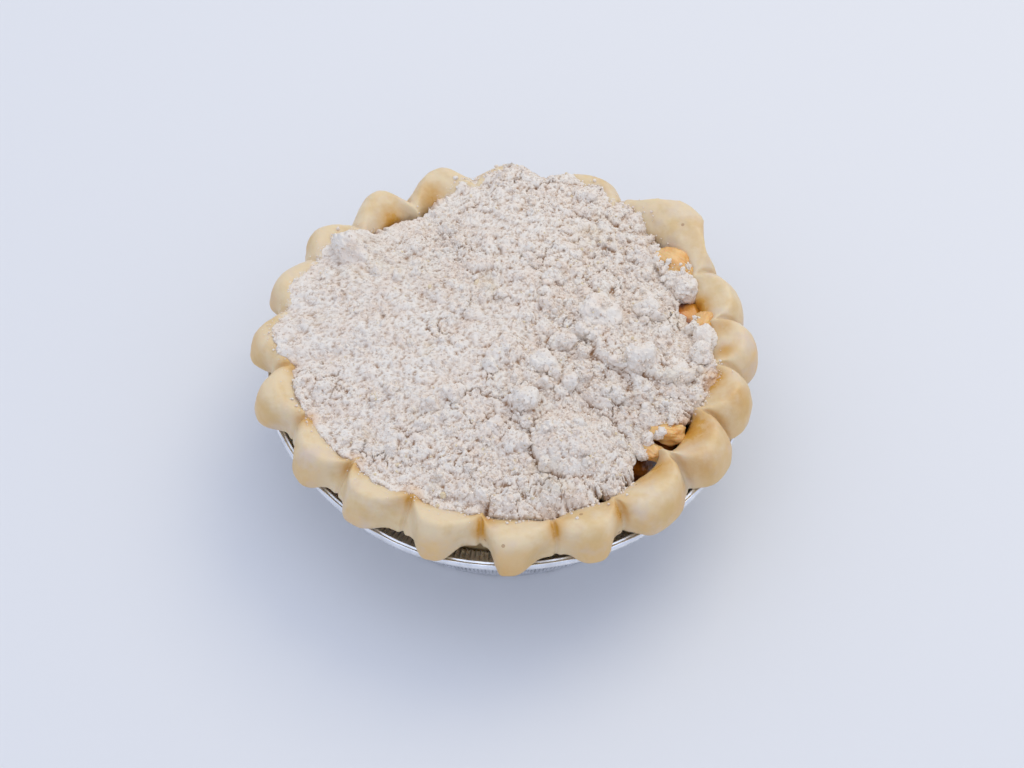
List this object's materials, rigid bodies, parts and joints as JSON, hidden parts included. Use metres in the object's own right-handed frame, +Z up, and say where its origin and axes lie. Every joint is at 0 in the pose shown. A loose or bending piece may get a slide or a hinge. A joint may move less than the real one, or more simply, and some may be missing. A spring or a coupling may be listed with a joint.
{
  "type": "apple crumble pie",
  "caption": "Small round fruit pie, ready to bake: a fluted raw pastry crust in a pleated foil dish, with fruit filling under a heap of loose crumble.",
  "frame": {"origin": "middle of the flat underside of the foil dish, at the height of the surface it stands on", "axes": "+Z up; the camera of the picture looks along +Y and down, so -Y is the front; the bare gap with the dark hole is towards +X and -Y"},
  "size_m": [0.1337, 0.1316, 0.0496],
  "materials": {
    "foil": "bright thin aluminium foil, finely pleated",
    "raw_pastry": "raw shortcrust pastry, smooth and slightly greasy",
    "apple_filling": "dark, wet, syrupy filling",
    "apple": "wet, soft, spiced fruit",
    "crumble": "dry, floury, unbaked crumbs"
  },
  "bodies": {
    "root": {"foil_dish": "foil", "pastry_crust": "raw_pastry", "apple_filling": "apple_filling", "apple_piece_back": "apple", "apple_piece_side": "apple", "apple_piece_front": "apple", "apple_piece_low": "apple", "crumble_topping": "crumble"}
  },
  "joints": []
}
